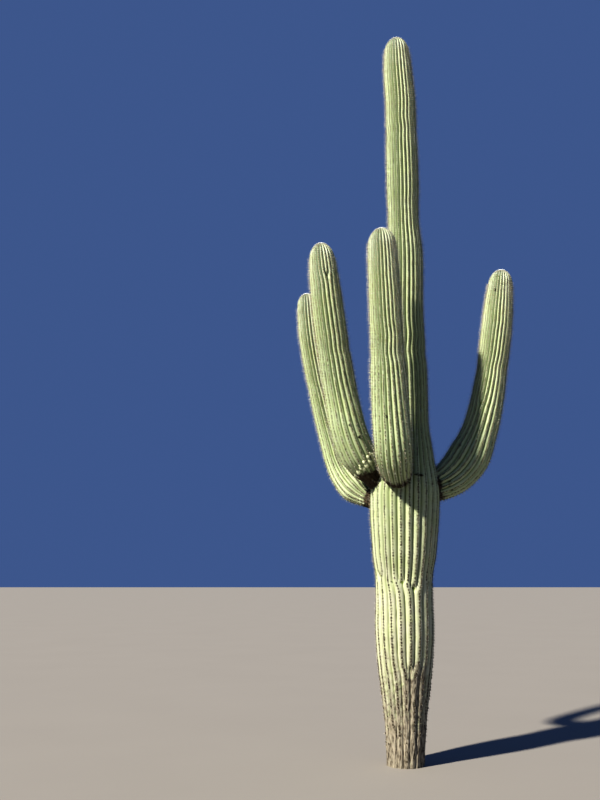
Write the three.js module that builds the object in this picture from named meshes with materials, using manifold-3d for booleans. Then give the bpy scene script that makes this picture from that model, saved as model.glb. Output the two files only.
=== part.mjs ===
import * as THREE from 'three';
import { mergeVertices } from 'three/addons/utils/BufferGeometryUtils.js';
import Module from 'manifold-3d';

// Saguaro cactus, seven metres tall: a ribbed trunk with four upturned arms.
// Millimetres, +Z up. The origin is the middle of the flat cut under the trunk, at ground level.
// +X is to the right and -Y to the front.

// Ribs: how many run round each limb, how deep a groove is and from which radius of limb it
// has that depth. Thinner stretches have shallower grooves. Each rib has three columns, told
// as shares of its width: the groove, then the two sides of the crest.
const TRUNK_RIBS = { count: 22, depth: 30, fullFrom: 200 };
const ARM_RIBS = { count: 18, depth: 22, fullFrom: 130 };
const RIB_COLUMNS = [0, 0.3, 0.7];
const GROOVE_FADE = 1.5;

// The domed tips: height as a share of the radius below, and the small flat crown on top.
const DOME_HEIGHT = 1.3;
const CROWN_SHARE = 0.12;

// Gap left where one limb meets the next.
const GAP = 0.3;

// Rings of faces along each stretch of a limb.
const TRUNK_ROWS = 30;
const ELBOW_ROWS = 8;
const UPRIGHT_ROWS = 10;
const DOME_ROWS = 5;

const SKIN_ROUGHNESS = 0.75;
const TRUNK_COLOUR = '#a3ab78';
const ELBOW_COLOUR = '#a4b070';
const UPRIGHT_COLOUR = '#afbb7c';

// Trunk stations from the ground up: height, lean to the right, radius over the ribs.
const TRUNK_HEIGHT = 7000;
const TRUNK_LEAN = 1;
const TRUNK_GIRTH = 2;
const TRUNK = [
  [0, 0, 164],
  [350, 12, 186],
  [850, 18, 244],
  [1200, 22, 260],
  [1560, 27, 256],
  [1800, 36, 287],
  [2330, 54, 320],
  [2650, 80, 250],
  [3020, 104, 185],
  [3400, 107, 184],
  [4000, 99, 175],
  [4650, 116, 169],
  [5000, 109, 149],
  [5300, 111, 157],
  [6200, 111, 150],
  [6600, 95, 143],
  [7000, 83, 112],
];

// Arms. The root lies inside the trunk. The arm leaves it along an azimuth, counted from +X
// towards +Y, and a rise above level, in degrees. It bends until the heel and then stands up
// to its tip. Lean is the sideways step for each step up, and a reach says how long a curve
// holds its direction. Girths are radii over the ribs at distances along the arm.
const ARM_GIRTH = 1;
const ARMS = {
  front_arm: {
    root: [-20, -190, 2482],
    azimuth: -104,
    rise: -6,
    rootReach: 230,
    heel: [-115, -600, 2800],
    heelReach: 270,
    heelLean: [-0.05, 0],
    shaftReach: 550,
    tip: [-174, -605, 4655],
    tipLean: [-0.05, 0],
    girth: [[0, 118], [230, 138], [450, 164], [850, 162], [1150, 157], [1420, 146], [1790, 143], [2100, 138], [2500, 115]],
  },
  left_arm: {
    root: [-90, -20, 2385],
    azimuth: -168,
    rise: 12,
    rootReach: 200,
    heel: [-490, -240, 2965],
    heelReach: 270,
    heelLean: [-0.2, -0.07],
    shaftReach: 520,
    tip: [-714, -365, 4610],
    tipLean: [-0.08, 0],
    girth: [[0, 80], [200, 85], [300, 125], [460, 168], [700, 163], [1000, 151], [1450, 148], [1950, 142], [2400, 108]],
  },
  back_left_arm: {
    root: [-150, 30, 2245],
    azimuth: 152,
    rise: 8,
    rootReach: 210,
    heel: [-560, 285, 2720],
    heelReach: 245,
    heelLean: [-0.25, 0.1],
    shaftReach: 550,
    tip: [-836, 375, 4375],
    tipLean: [-0.02, 0],
    girth: [[0, 70], [150, 80], [340, 137], [620, 124], [1000, 115], [1500, 110], [1900, 112], [2300, 98]],
  },
  right_arm: {
    root: [200, 20, 2370],
    azimuth: 6,
    rise: 6,
    rootReach: 280,
    heel: [800, 140, 2950],
    heelReach: 400,
    heelLean: [0.36, 0.03],
    shaftReach: 410,
    tip: [1086, 165, 4548],
    tipLean: [0.12, 0],
    girth: [[0, 130], [180, 148], [380, 180], [600, 194], [850, 168], [1150, 155], [1500, 143], [1900, 146], [2500, 107]],
  },
};

// Manifold library, which joins and cuts closed solids.
const wasm = await Module();
wasm.setup();

function toSolid(geometry) {
  const merged = mergeVertices(geometry);
  return new wasm.Manifold(new wasm.Mesh({
    numProp: 3,
    vertProperties: new Float32Array(merged.attributes.position.array),
    triVerts: new Uint32Array(merged.index.array),
  }));
}

function toGeometry(solid) {
  const mesh = solid.getMesh();
  const geometry = new THREE.BufferGeometry();
  geometry.setAttribute('position', new THREE.BufferAttribute(mesh.vertProperties, 3));
  geometry.setIndex(new THREE.BufferAttribute(mesh.triVerts, 1));
  return geometry;
}

// Smooth value of one column of a station list at a place along it. The slope at a station is
// the harmonic mean of the slopes beside it, and nought at a swell or a waist, so that nothing
// overshoots.
function valueAt(stations, place, column) {
  const last = stations.length - 1;
  const clamped = Math.min(Math.max(place, stations[0][0]), stations[last][0]);
  let i = 0;
  while (i < last - 1 && stations[i + 1][0] < clamped) {
    i += 1;
  }
  const secant = (k) => {
    const [from, to] = [stations[k], stations[k + 1]];
    return (to[column] - from[column]) / (to[0] - from[0]);
  };
  const slope = (k) => {
    if (k === 0 || k === last) {
      return secant(Math.min(k, last - 1));
    }
    const [before, after] = [secant(k - 1), secant(k)];
    return before * after <= 0 ? 0 : (2 * before * after) / (before + after);
  };
  const span = stations[i + 1][0] - stations[i][0];
  const t = (clamped - stations[i][0]) / span;
  return stations[i][column] * (1 + 2 * t) * (1 - t) ** 2
    + slope(i) * span * t * (1 - t) ** 2
    + stations[i + 1][column] * t * t * (3 - 2 * t)
    + slope(i + 1) * span * t * t * (t - 1);
}

// Radius over the ribs at a place along a limb of a given length, closed by a dome at the tip.
function radiusAt(stations, column, length, place) {
  const shaft = valueAt(stations, place, column);
  const dome = DOME_HEIGHT * valueAt(stations, length, column);
  const inDome = Math.max(0, 1 - (length - place) / dome) * Math.sqrt(1 - CROWN_SHARE ** 2);
  return shaft * Math.sqrt(1 - inDome ** 2);
}

// Places of the rings from a start to a tip: even up the shaft, then even in angle round the dome.
function placesToTip(start, length, tipRadius, rows) {
  const shoulder = length - DOME_HEIGHT * tipRadius;
  const places = [];
  for (let row = 0; row <= rows; row += 1) {
    places.push(THREE.MathUtils.lerp(start, shoulder, row / rows));
  }
  for (let row = 1; row <= DOME_ROWS; row += 1) {
    const climb = Math.sin((row / DOME_ROWS) * Math.PI / 2);
    places.push(THREE.MathUtils.lerp(shoulder, length, climb));
  }
  return places;
}

// Closed ribbed solid through rings. Each ring has a centre, two directions across the limb,
// a radius over the crests and a groove depth. A cylinder's vertices are moved onto the rings.
function ribbedGeometry(rings, ribs) {
  const columns = ribs * RIB_COLUMNS.length;
  const rows = rings.length - 1;
  const geometry = new THREE.CylinderGeometry(1, 1, rows, columns, rows);
  geometry.deleteAttribute('normal');
  geometry.deleteAttribute('uv');
  const position = geometry.attributes.position;
  const vertex = new THREE.Vector3();
  for (let i = 0; i < position.count; i += 1) {
    vertex.fromBufferAttribute(position, i);
    const ring = rings[Math.round(vertex.y + rows / 2)];
    const turn = Math.atan2(vertex.x, vertex.z) / (2 * Math.PI);
    const column = (Math.round(turn * columns) + columns) % columns;
    const step = column % RIB_COLUMNS.length;
    const rib = (column - step) / RIB_COLUMNS.length;
    const angle = ((rib + RIB_COLUMNS[step]) / ribs) * 2 * Math.PI;
    const onRim = Math.hypot(vertex.x, vertex.z) > 0.5 ? 1 : 0;
    const radius = (ring.radius - (step === 0 ? ring.groove : 0)) * onRim;
    vertex.copy(ring.centre)
      .addScaledVector(ring.right, radius * Math.sin(angle))
      .addScaledVector(ring.front, radius * Math.cos(angle));
    position.setXYZ(i, vertex.x, vertex.y, vertex.z);
  }
  return mergeVertices(geometry);
}

// Groove depth where the limb has a given radius.
function grooveAt(radius, ribs) {
  return ribs.depth * Math.min(1, (radius / ribs.fullFrom) ** GROOVE_FADE);
}

// Trunk: level rings stacked up a leaning line.
function trunkGeometry(growth) {
  const tipRadius = valueAt(TRUNK, TRUNK_HEIGHT, TRUNK_GIRTH);
  const rings = placesToTip(0, TRUNK_HEIGHT, tipRadius, TRUNK_ROWS).map((height) => {
    const radius = radiusAt(TRUNK, TRUNK_GIRTH, TRUNK_HEIGHT, height);
    return {
      centre: new THREE.Vector3(valueAt(TRUNK, height, TRUNK_LEAN), 0, height),
      right: new THREE.Vector3(1, 0, 0),
      front: new THREE.Vector3(0, -1, 0),
      radius: radius + growth,
      groove: grooveAt(radius, TRUNK_RIBS),
    };
  });
  return ribbedGeometry(rings, TRUNK_RIBS.count);
}

// Centreline of an arm: a bend out of the trunk, then a nearly upright stretch.
function armLine(arm) {
  const root = new THREE.Vector3(...arm.root);
  const heel = new THREE.Vector3(...arm.heel);
  const tip = new THREE.Vector3(...arm.tip);
  const azimuth = THREE.MathUtils.degToRad(arm.azimuth);
  const rise = THREE.MathUtils.degToRad(arm.rise);
  const out = new THREE.Vector3(
    Math.cos(azimuth) * Math.cos(rise),
    Math.sin(azimuth) * Math.cos(rise),
    Math.sin(rise),
  );
  const heelUp = new THREE.Vector3(...arm.heelLean, 1).normalize();
  const tipUp = new THREE.Vector3(...arm.tipLean, 1).normalize();
  const line = new THREE.CurvePath();
  line.add(new THREE.CubicBezierCurve3(
    root,
    root.clone().addScaledVector(out, arm.rootReach),
    heel.clone().addScaledVector(heelUp, -arm.heelReach),
    heel,
  ));
  line.add(new THREE.CubicBezierCurve3(
    heel,
    heel.clone().addScaledVector(heelUp, arm.shaftReach),
    tip.clone().addScaledVector(tipUp, -arm.shaftReach),
    tip,
  ));
  return { line, side: new THREE.Vector3(-Math.sin(azimuth), Math.cos(azimuth), 0) };
}

// Rings square to an arm's centreline, at given distances along it.
function armRings(arm, { line, side }, places) {
  const length = line.getLength();
  return places.map((place) => {
    const share = Math.min(place / length, 1);
    const along = line.getTangentAt(share);
    const right = side.clone().addScaledVector(along, -side.dot(along)).normalize();
    const radius = radiusAt(arm.girth, ARM_GIRTH, length, place);
    return {
      centre: line.getPointAt(share),
      right,
      front: right.clone().cross(along),
      radius,
      groove: grooveAt(radius, ARM_RIBS),
    };
  });
}

// Elbow: from inside the trunk to the heel, cut clear of the trunk.
function elbowGeometry(arm, centreline, trunkCutter) {
  const bend = centreline.line.curves[0].getLength();
  const places = [];
  for (let row = 0; row <= ELBOW_ROWS; row += 1) {
    places.push((bend * row) / ELBOW_ROWS);
  }
  const whole = ribbedGeometry(armRings(arm, centreline, places), ARM_RIBS.count);
  return toGeometry(toSolid(whole).subtract(trunkCutter));
}

// Upright: from just above the heel to the domed tip.
function uprightGeometry(arm, centreline) {
  const bend = centreline.line.curves[0].getLength();
  const length = centreline.line.getLength();
  const tipRadius = valueAt(arm.girth, length, ARM_GIRTH);
  const places = placesToTip(bend + GAP, length, tipRadius, UPRIGHT_ROWS);
  return ribbedGeometry(armRings(arm, centreline, places), ARM_RIBS.count);
}

function limbMesh(name, geometry, colour) {
  const material = new THREE.MeshStandardMaterial({ color: colour, roughness: SKIN_ROUGHNESS, metalness: 0 });
  const mesh = new THREE.Mesh(geometry, material);
  mesh.name = name;
  return mesh;
}

const cactus = new THREE.Group();
cactus.name = 'saguaro';
cactus.add(limbMesh('trunk', trunkGeometry(0), TRUNK_COLOUR));

const trunkCutter = toSolid(trunkGeometry(2 * GAP));
for (const [name, arm] of Object.entries(ARMS)) {
  const centreline = armLine(arm);
  cactus.add(limbMesh(`${name}_elbow`, elbowGeometry(arm, centreline, trunkCutter), ELBOW_COLOUR));
  cactus.add(limbMesh(`${name}_upright`, uprightGeometry(arm, centreline), UPRIGHT_COLOUR));
}

export default cactus;
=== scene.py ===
"""Looks of the saguaro: ribbed skins, felt cushions, spines, woolly crowns and scars."""

import math

import bpy
import numpy as np
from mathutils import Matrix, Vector


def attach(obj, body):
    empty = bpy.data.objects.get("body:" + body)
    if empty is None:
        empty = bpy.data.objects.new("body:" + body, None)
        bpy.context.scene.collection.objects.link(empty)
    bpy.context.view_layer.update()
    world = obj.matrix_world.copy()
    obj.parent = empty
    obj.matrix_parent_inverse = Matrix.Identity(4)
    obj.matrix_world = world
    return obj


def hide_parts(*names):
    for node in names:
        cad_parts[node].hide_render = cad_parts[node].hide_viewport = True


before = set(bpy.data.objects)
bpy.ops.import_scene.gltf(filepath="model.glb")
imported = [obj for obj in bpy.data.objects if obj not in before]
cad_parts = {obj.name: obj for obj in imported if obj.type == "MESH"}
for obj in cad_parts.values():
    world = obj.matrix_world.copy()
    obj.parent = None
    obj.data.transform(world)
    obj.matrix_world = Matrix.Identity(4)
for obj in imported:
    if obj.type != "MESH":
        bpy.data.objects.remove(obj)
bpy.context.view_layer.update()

bl_info = {
    "name": "Saguaro dressing",
    "version": (1, 0, 0),
    "blender": (4, 5, 0),
    "location": "3D View > Sidebar > Saguaro",
    "description": "Ribbed skin, spines, woolly crowns and scars of a tall columnar cactus",
    "category": "Object",
}

TAU = 2 * math.pi

# Shape of the limbs, in metres, as in the part's source. Trunk stations from the ground up:
# height, lean to the right, radius over the ribs.
TRUNK_HEIGHT = 7.0
TRUNK_LEAN = 1
TRUNK_GIRTH = 2
TRUNK = (
    (0.0, 0.0, 0.164),
    (0.35, 0.012, 0.186),
    (0.85, 0.018, 0.244),
    (1.2, 0.022, 0.26),
    (1.56, 0.027, 0.256),
    (1.8, 0.036, 0.287),
    (2.33, 0.054, 0.32),
    (2.65, 0.08, 0.25),
    (3.02, 0.104, 0.185),
    (3.4, 0.107, 0.184),
    (4.0, 0.099, 0.175),
    (4.65, 0.116, 0.169),
    (5.0, 0.109, 0.149),
    (5.3, 0.111, 0.157),
    (6.2, 0.111, 0.15),
    (6.6, 0.095, 0.143),
    (7.0, 0.083, 0.112),
)

# Arms: the root lies inside the trunk, the arm bends until its heel and then stands up to its
# tip. Angles are in degrees. Girth: distance along the arm, radius over the ribs.
ARM_GIRTH = 1
ARMS = {
    "front_arm": {
        "root": (-0.02, -0.19, 2.482),
        "azimuth": -104,
        "rise": -6,
        "root_reach": 0.23,
        "heel": (-0.115, -0.6, 2.8),
        "heel_reach": 0.27,
        "heel_lean": (-0.05, 0),
        "shaft_reach": 0.55,
        "tip": (-0.174, -0.605, 4.655),
        "tip_lean": (-0.05, 0),
        "girth": ((0, 0.118), (0.23, 0.138), (0.45, 0.164), (0.85, 0.162), (1.15, 0.157),
                  (1.42, 0.146), (1.79, 0.143), (2.1, 0.138), (2.5, 0.115)),
    },
    "left_arm": {
        "root": (-0.09, -0.02, 2.385),
        "azimuth": -168,
        "rise": 12,
        "root_reach": 0.2,
        "heel": (-0.49, -0.24, 2.965),
        "heel_reach": 0.27,
        "heel_lean": (-0.2, -0.07),
        "shaft_reach": 0.52,
        "tip": (-0.714, -0.365, 4.61),
        "tip_lean": (-0.08, 0),
        "girth": ((0, 0.08), (0.2, 0.085), (0.3, 0.125), (0.46, 0.168), (0.7, 0.163), (1.0, 0.151),
                  (1.45, 0.148), (1.95, 0.142), (2.4, 0.108)),
    },
    "back_left_arm": {
        "root": (-0.15, 0.03, 2.245),
        "azimuth": 152,
        "rise": 8,
        "root_reach": 0.21,
        "heel": (-0.56, 0.285, 2.72),
        "heel_reach": 0.245,
        "heel_lean": (-0.25, 0.1),
        "shaft_reach": 0.55,
        "tip": (-0.836, 0.375, 4.375),
        "tip_lean": (-0.02, 0),
        "girth": ((0, 0.07), (0.15, 0.08), (0.34, 0.137), (0.62, 0.124), (1.0, 0.115),
                  (1.5, 0.11), (1.9, 0.112), (2.3, 0.098)),
    },
    "right_arm": {
        "root": (0.2, 0.02, 2.37),
        "azimuth": 6,
        "rise": 6,
        "root_reach": 0.28,
        "heel": (0.8, 0.14, 2.95),
        "heel_reach": 0.4,
        "heel_lean": (0.36, 0.03),
        "shaft_reach": 0.41,
        "tip": (1.086, 0.165, 4.548),
        "tip_lean": (0.12, 0),
        "girth": ((0, 0.13), (0.18, 0.148), (0.38, 0.18), (0.6, 0.194), (0.85, 0.168), (1.15, 0.155),
                  (1.5, 0.143), (1.9, 0.146), (2.5, 0.107)),
    },
}

# Ribs of each limb: how many at its foot, where one of them stands, and where new ribs start.
# Angles are in degrees from the limb's front, counted to the right. Places are along the limb.
RIBS = {
    "trunk": {
        "count": 18,
        "crest": -14,
        "new": ((5, 0.81), (11, 1.49), (60, 1.52), (-15, 1.54), (190, 1.55), (-73, 1.59), (120, 1.6)),
    },
    "front_arm": {
        "count": 18,
        "crest": 4,
        "new": ((-100, 0.5), (105, 0.6), (160, 0.7), (-140, 0.8), (-112, 0.95), (130, 1.0),
                (-172, 1.1), (100, 1.42)),
    },
    "left_arm": {
        "count": 17,
        "crest": 0,
        "new": ((-70, 0.7), (-140, 0.85), (150, 1.0), (-110, 1.15), (-20, 1.3), (95, 2.1)),
    },
    "back_left_arm": {
        "count": 15,
        "crest": 3,
        "new": ((-60, 0.6), (-100, 0.8), (170, 0.9), (-20, 1.2), (-130, 1.4)),
    },
    "right_arm": {
        "count": 17,
        "crest": 8,
        "new": ((-30, 0.6), (60, 0.7), (120, 0.8), (90, 1.0), (-122, 1.12), (20, 1.2), (150, 1.3),
                (175, 1.5)),
    },
}
# Kinks, where growth once paused: place, turn of the ribs there in degrees, and how far the
# limb draws in, as a share of its radius.
KINKS = {
    "trunk": ((3.64, 3, 0.045), (3.81, -2.5, 0.0), (5.15, 1.5, 0.02), (5.93, -2.5, 0.03), (6.06, 2, 0.0)),
    "front_arm": ((1.285, 3, 0.035), (1.46, -2.5, 0.0), (2.0, 1, 0.015)),
    "left_arm": ((1.42, 2, 0.03), (2.02, -1.5, 0.025)),
    "back_left_arm": ((1.45, 2, 0.025),),
    "right_arm": ((1.5, 2, 0.025), (1.95, -1.5, 0.02)),
}
# Collar of cork round an arm's neck, in metres over the solid's own girth there, how far the cork
# reaches along the arm, and the share of their whole depth that the grooves have at the neck.
# The dark colour of the necks' cork is partly painted shade under the arms' bends, so its reach also sets
# where that painted shade ends.
NECKS = {
    "front_arm": (0.008, 0.26, 0.9),
    "left_arm": (0.012, 0.315, 0.35),
    "back_left_arm": (0.006, 0.2, 0.6),
    "right_arm": (0.003, 0.19, 0.8),
}
# Knobs that some ribs end in above the left arm's neck: turn in degrees, place and diameter.
KNOBS = (
    (118, 0.4, 0.044),
    (98, 0.413, 0.032),
    (98, 0.37, 0.046),
    (80, 0.354, 0.046),
    (65, 0.337, 0.034),
    (58, 0.357, 0.034),
    (40, 0.332, 0.04),
    (98, 0.341, 0.028),
    (120, 0.36, 0.028),
    (78, 0.392, 0.03),
    (9, 0.31, 0.028),
    (132, 0.421, 0.032),
    (110, 0.43, 0.026),
    (60, 0.38, 0.024),
)
# Wounds that have healed over, and creases at the right arm's root whose dark callus colour is
# painted shade in the creases: turn in degrees, place, width and height in metres.
SCARS = {
    "trunk": ((17, 2.466, 0.085, 0.018), (40, 4.823, 0.034, 0.034), (-16, 1.54, 0.026, 0.018),
              (9, 1.49, 0.028, 0.018), (-34, 1.54, 0.014, 0.01)),
    "front_arm": ((-9, 0.72, 0.026, 0.028),),
    "left_arm": ((101, 0.604, 0.028, 0.032), (81, 0.718, 0.02, 0.024), (-16, 0.312, 0.06, 0.018)),
    "back_left_arm": ((55, 2.187, 0.028, 0.03),),
    "right_arm": ((-132, 2.276, 0.024, 0.032), (-140, 0.605, 0.026, 0.028), (-119, 0.222, 0.012, 0.028),
                  (-98, 0.225, 0.012, 0.024), (-84, 0.232, 0.013, 0.03), (-70, 0.215, 0.012, 0.026),
                  (-54, 0.225, 0.014, 0.024)),
}
# Radius of limb from which a groove has its full depth, and how fast it fades on thinner ones.
FULL_GROOVE_RADIUS = {"trunk": 0.2, "arm": 0.13}
GROOVE_FADE = 0.6
# Height of a domed tip as a share of the radius below it.
DOME_HEIGHT = 1.3


# Numbers for the limbs' surfaces

# Steps in which a walk over a limb's skin is measured out.
WALK_STEPS = 4000


def unit(vectors):
    """Vectors brought to length one."""
    return vectors / np.linalg.norm(vectors, axis=-1, keepdims=True)


def ease(value, low, high):
    """Smooth step from 0 at low to 1 at high."""
    t = np.clip((value - low) / (high - low), 0, 1)
    return t * t * (3 - 2 * t)


def running_total(steps):
    """Sum reached after each step, from 0."""
    return np.concatenate([[0], np.cumsum(steps)])


def turn_from(turn, middle):
    """How far a turn lies from another, from minus half a turn to half a turn."""
    return (turn - middle + math.pi) % TAU - math.pi


def value_at(stations, place, column):
    """Smooth value of one column of a station list, level at a swell or a waist."""
    table = np.array(stations, float)
    xs, ys = table[:, 0], table[:, column]
    secants = np.diff(ys) / np.diff(xs)
    before, after = secants[:-1], secants[1:]
    turning = before * after <= 0
    harmonic = 2 * before * after / np.where(turning, 1, before + after)
    slopes = np.concatenate([secants[:1], np.where(turning, 0, harmonic), secants[-1:]])
    clamped = np.clip(place, xs[0], xs[-1])
    i = np.clip(np.searchsorted(xs, clamped) - 1, 0, len(xs) - 2)
    span = xs[i + 1] - xs[i]
    t = (clamped - xs[i]) / span
    return (ys[i] * (1 + 2 * t) * (1 - t) ** 2 + slopes[i] * span * t * (1 - t) ** 2
            + ys[i + 1] * t * t * (3 - 2 * t) + slopes[i + 1] * span * t * t * (t - 1))


def mottle(turn, place, around, pitch, seed):
    """Smooth random values from -1 to 1 over a limb's skin, with `around` cells round it and
    one in each `pitch` metres along it."""
    # The lattice reaches a fifth beyond the longest limb.
    rows = int(TRUNK_HEIGHT * 1.2 / pitch) + 4
    lattice = np.random.default_rng(seed).uniform(-1, 1, (rows, around))
    across = (turn / TAU % 1) * around
    up = place / pitch + 1
    i, j = np.floor(up).astype(int), np.floor(across).astype(int)
    u, v = ease(up - i, 0, 1), ease(across - j, 0, 1)
    j, beside = j % around, (j + 1) % around
    low = lattice[i, j] * (1 - v) + lattice[i, beside] * v
    high = lattice[i + 1, j] * (1 - v) + lattice[i + 1, beside] * v
    return low * (1 - u) + high * u


def bezier(start, leave, arrive, end, steps):
    """Points on a cubic curve."""
    t = np.linspace(0, 1, steps)[:, None]
    return ((1 - t) ** 3 * start + 3 * (1 - t) ** 2 * t * leave
            + 3 * (1 - t) * t * t * arrive + t ** 3 * end)


class Limb:
    """The trunk or one arm: its line, girth and ribs. A place is a distance along the line."""

    line_steps = 400
    # A new rib takes this length to push its neighbours aside, in metres.
    merge_length = 0.13
    # A new rib rises out of the groove within this distance, in radians and merge lengths. Along
    # the limb a distance counts by the second number only, so the hollow is a long one.
    rise_reach, rise_stretch = 0.085, 0.45
    # A new rib is looked for within this turn, in radians, in so many steps and to this fit.
    search_reach, search_steps, search_fit = 0.3, 601, 0.995
    settling_rounds = 4
    # The ribs wander by this part of a turn of their pattern, in radians.
    wander = 0.4
    # Slow swellings of the skin, as a share of the radius.
    swelling = 0.012
    # Length of limb that a kink bends, to each side.
    kink_reach = 0.07
    # Powers that shape the round crest and the narrow crease between two ribs.
    crest_power, crease_power = 2, 8
    # Grooves are shallower round an arm's bend, and deepen between these places.
    bend_from, bend_to = 0.45, 1.25
    # Cork ends over this length, wavers by this much and is ragged by this share, and fills
    # this share of a groove's depth.
    cork_end, cork_waver, cork_raggedness, cork_fill = 0.07, 0.035, 0.25, 0.55
    # A neck's collar ends between so far before and after the cork's reach. Its creases: their
    # spacing and depth.
    collar_before, collar_after = 0.05, 0.02
    neck_spacing, neck_crease = 0.031, 0.008
    # Height of the skin's fine grain. All relief fades where the dome is thinner than the radius.
    grain, thin_radius = 0.0012, 0.06
    # Only one in so many points of the line tells whether a spot lies inside the limb.
    coarseness = 8

    def __init__(self, name, seed, places, centres, rights, fronts, girth, column, depth, crease):
        self.name, self.seed = name, seed
        self.places, self.centres, self.rights, self.fronts = places, centres, rights, fronts
        self.girth, self.column = girth, column
        self.depth, self.crease = depth, crease
        self.full_radius = FULL_GROOVE_RADIUS["trunk" if name == "trunk" else "arm"]
        self.ribs, self.kinks = RIBS[name], KINKS[name]
        self.new_ribs = [(math.radians(angle), start) for angle, start in self.ribs["new"]]
        # Every new rib shifts the pattern for the others, so their places settle in a few rounds.
        for _ in range(self.settling_rounds):
            for angle, start in self.ribs["new"]:
                self.new_ribs.pop(0)
                self.new_ribs.append((self.groove_near(math.radians(angle), start), start))
        self.length = places[-1]
        self.dome = DOME_HEIGHT * value_at(girth, self.length, column)
        shoulder = self.length - self.dome
        shaft = np.linspace(0, shoulder, 2 * self.line_steps, endpoint=False)
        climb = np.sin(np.linspace(0, math.pi / 2, self.line_steps))
        self.walk_places = np.concatenate([shaft, shoulder + self.dome * climb])
        # Walks are distances over the skin itself, which are longer than places on the dome.
        radii = self.radius(self.walk_places)
        self.walks = running_total(np.hypot(np.diff(self.walk_places), np.diff(radii)))

    def place_of(self, walk):
        """Place along the line for a distance walked over the skin."""
        return np.interp(walk, self.walks, self.walk_places)

    def even_walk(self):
        """Distances over the skin from the root to the tip, closely spaced."""
        return np.linspace(0, self.walks[-1], WALK_STEPS)

    def rings(self, turn, place):
        """Centre of the ring at each place, and the direction from it towards each turn."""
        centre, right, front = (
            np.stack([np.interp(place, self.places, table[:, axis]) for axis in range(3)], -1)
            for table in (self.centres, self.rights, self.fronts))
        return centre, right * np.sin(turn)[..., None] + front * np.cos(turn)[..., None]

    def radius(self, place):
        """Radius over the ribs, closed by a dome at the tip."""
        climb = np.clip(1 - (self.length - place) / self.dome, 0, 1)
        drawn_in = sum(pinch * self.near(place, at) for at, _, pinch in self.kinks)
        return value_at(self.girth, place, self.column) * np.sqrt(1 - climb ** 2) * (1 - drawn_in)

    def near(self, place, at):
        """How strongly a kink at one place tells at another."""
        return np.exp(-((place - at) / self.kink_reach) ** 2)

    def depth_share(self, place):
        """Share of its whole depth that a groove has at each place."""
        at_neck = NECKS[self.name][2]
        return at_neck + (1 - at_neck) * ease(place, self.bend_from, self.bend_to)

    def groove_depth(self, place):
        """Depth of a groove between two ribs."""
        share = np.minimum(1, self.radius(place) / self.full_radius)
        return self.depth * share ** GROOVE_FADE * self.depth_share(place)

    def groove_near(self, turn, place):
        """The turn nearest to a given one where a new rib stands up straight out of a groove."""
        tried = turn + np.linspace(-self.search_reach, self.search_reach, self.search_steps)
        fits = np.cos(self.phase(tried, place)) > self.search_fit
        return tried[fits][np.abs(tried[fits] - turn).argmin()]

    def phase(self, turn, place):
        """Where the skin lies in the pattern of ribs: a whole turn of it is one rib."""
        for at, shift, _ in self.kinks:
            turn = turn + math.radians(shift) * self.near(place, at)
        phase = self.ribs["count"] * (turn - math.radians(self.ribs["crest"]))
        for middle, start in self.new_ribs:
            step = (place - start) / self.merge_length + 1j * (turn - middle)
            phase = phase + np.angle(np.exp(step) - 1)
        return phase + self.wander * mottle(turn, place, 4, 0.6, self.seed)

    def crest(self, turn, place):
        """Height between two ribs: 0 in the groove and 1 on the crest."""
        share = np.abs((self.phase(turn, place) / TAU) % 1 - 0.5) * 2
        height = (1 - (1 - self.crease) * (1 - share) ** self.crest_power
                  - self.crease * (1 - share) ** self.crease_power)
        for middle, start in self.new_ribs:
            along = self.rise_stretch * (place - start) / self.merge_length
            off = np.hypot(turn_from(turn, middle), along) / self.rise_reach
            height = height * (1 - np.exp(-off ** 2))
        return height

    def cork(self, turn, place):
        """Share of cork in the skin: all of it on the collar round an arm's neck."""
        reach = NECKS[self.name][1] + self.cork_waver * mottle(turn, place, 13, 0.1, self.seed + 6)
        ragged = self.cork_raggedness * mottle(turn, place, 18, 0.05, self.seed + 4)
        return np.clip((1 - ease(place, reach - self.cork_end, reach)) * (1 + ragged), 0, 1)

    def relief(self, turn, place):
        """Small relief of the skin, with creases round an arm's neck."""
        collar, reach = NECKS[self.name][:2]
        neck = 1 - ease(place, reach - self.collar_before, reach + self.collar_after)
        uneven = TAU * place / self.neck_spacing + 2 * mottle(turn, place, 9, 0.1, self.seed + 5)
        creases = np.clip(np.cos(uneven), 0, 1)
        return (collar * neck - self.neck_crease * neck * creases
                + self.grain * mottle(turn, place, 60, 0.05, self.seed + 2))

    def skin(self, turn, place):
        """Points of the skin, and how deep in a groove each lies: 0 on a crest, 1 in a groove."""
        radius = self.radius(place)
        crest = self.crest(turn, place)
        swell = 1 + self.swelling * (mottle(turn, place, 5, 0.35, self.seed + 3) - 1)
        open_share = 1 - self.cork_fill * self.cork(turn, place) ** 2
        fade = np.minimum(1, radius / self.thin_radius)
        reach = (radius * swell - self.groove_depth(place) * (1 - crest) * open_share
                 + self.relief(turn, place) * fade)
        centre, out = self.rings(turn, place)
        return centre + out * reach[..., None], 1 - crest

    def holds(self, points, share):
        """Which points lie inside a share of this limb's radius."""
        every = slice(None, None, self.coarseness)
        apart = np.linalg.norm(points[:, None] - self.centres[None, every], axis=-1)
        nearest = apart.argmin(axis=1)
        radii = self.radius(self.places[every])
        return apart[np.arange(len(points)), nearest] < share * radii[nearest]


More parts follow.
